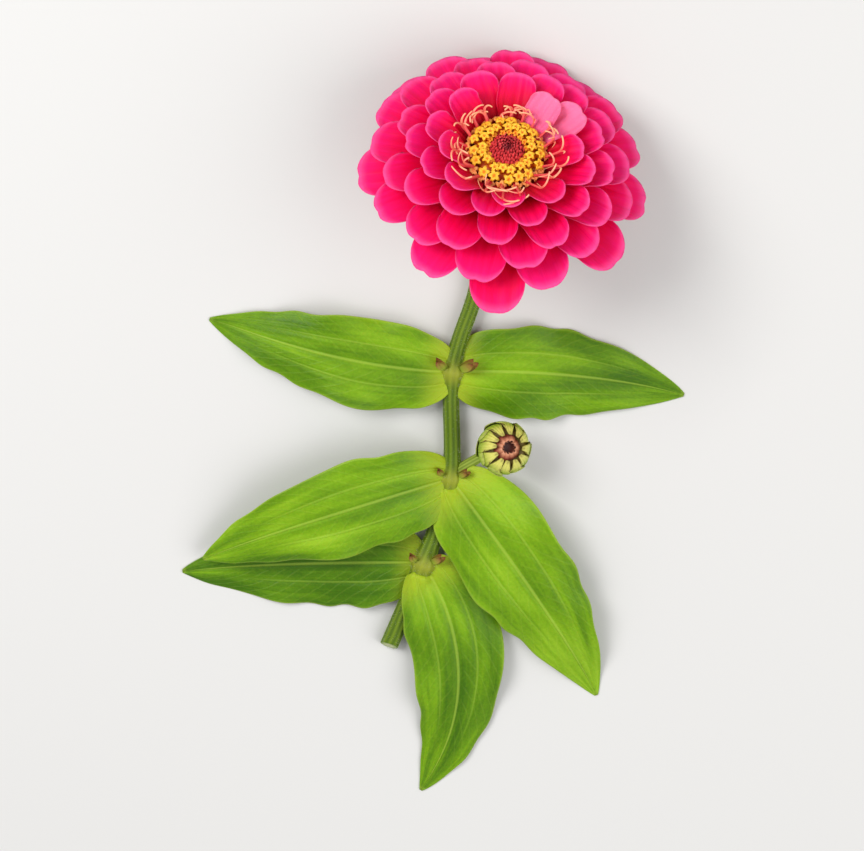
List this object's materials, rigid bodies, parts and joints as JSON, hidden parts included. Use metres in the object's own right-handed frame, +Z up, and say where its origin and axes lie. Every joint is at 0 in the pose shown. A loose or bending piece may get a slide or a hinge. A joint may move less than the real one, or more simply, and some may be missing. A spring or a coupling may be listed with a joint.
{
  "type": "zinnia flower",
  "caption": "Cut double zinnia lying on a surface: layers of crimson ray petals round a yellow-ringed disc, on a leafy stem with waved opposite leaves and a side bud.",
  "frame": {"origin": "centre of the bounding box's bottom face, on the surface that the flower lies on", "axes": "+Z up from the surface; +Y along the stem from its cut end to the flower head; +X to the right when looked down on with the head away from the viewer"},
  "size_m": [0.1496, 0.232, 0.0585],
  "materials": {
    "green": "satin, hairy, three-veined leaves and ribbed stem",
    "crimson": "matte velvet, paler at the petal rims",
    "yellow": "matte, finely fuzzy",
    "maroon": "matte"
  },
  "bodies": {
    "root": {"leafy_stem": "green", "ray_florets": "crimson", "disc_florets": "yellow", "disc_centre": "maroon", "bud_florets": "maroon"}
  },
  "joints": []
}
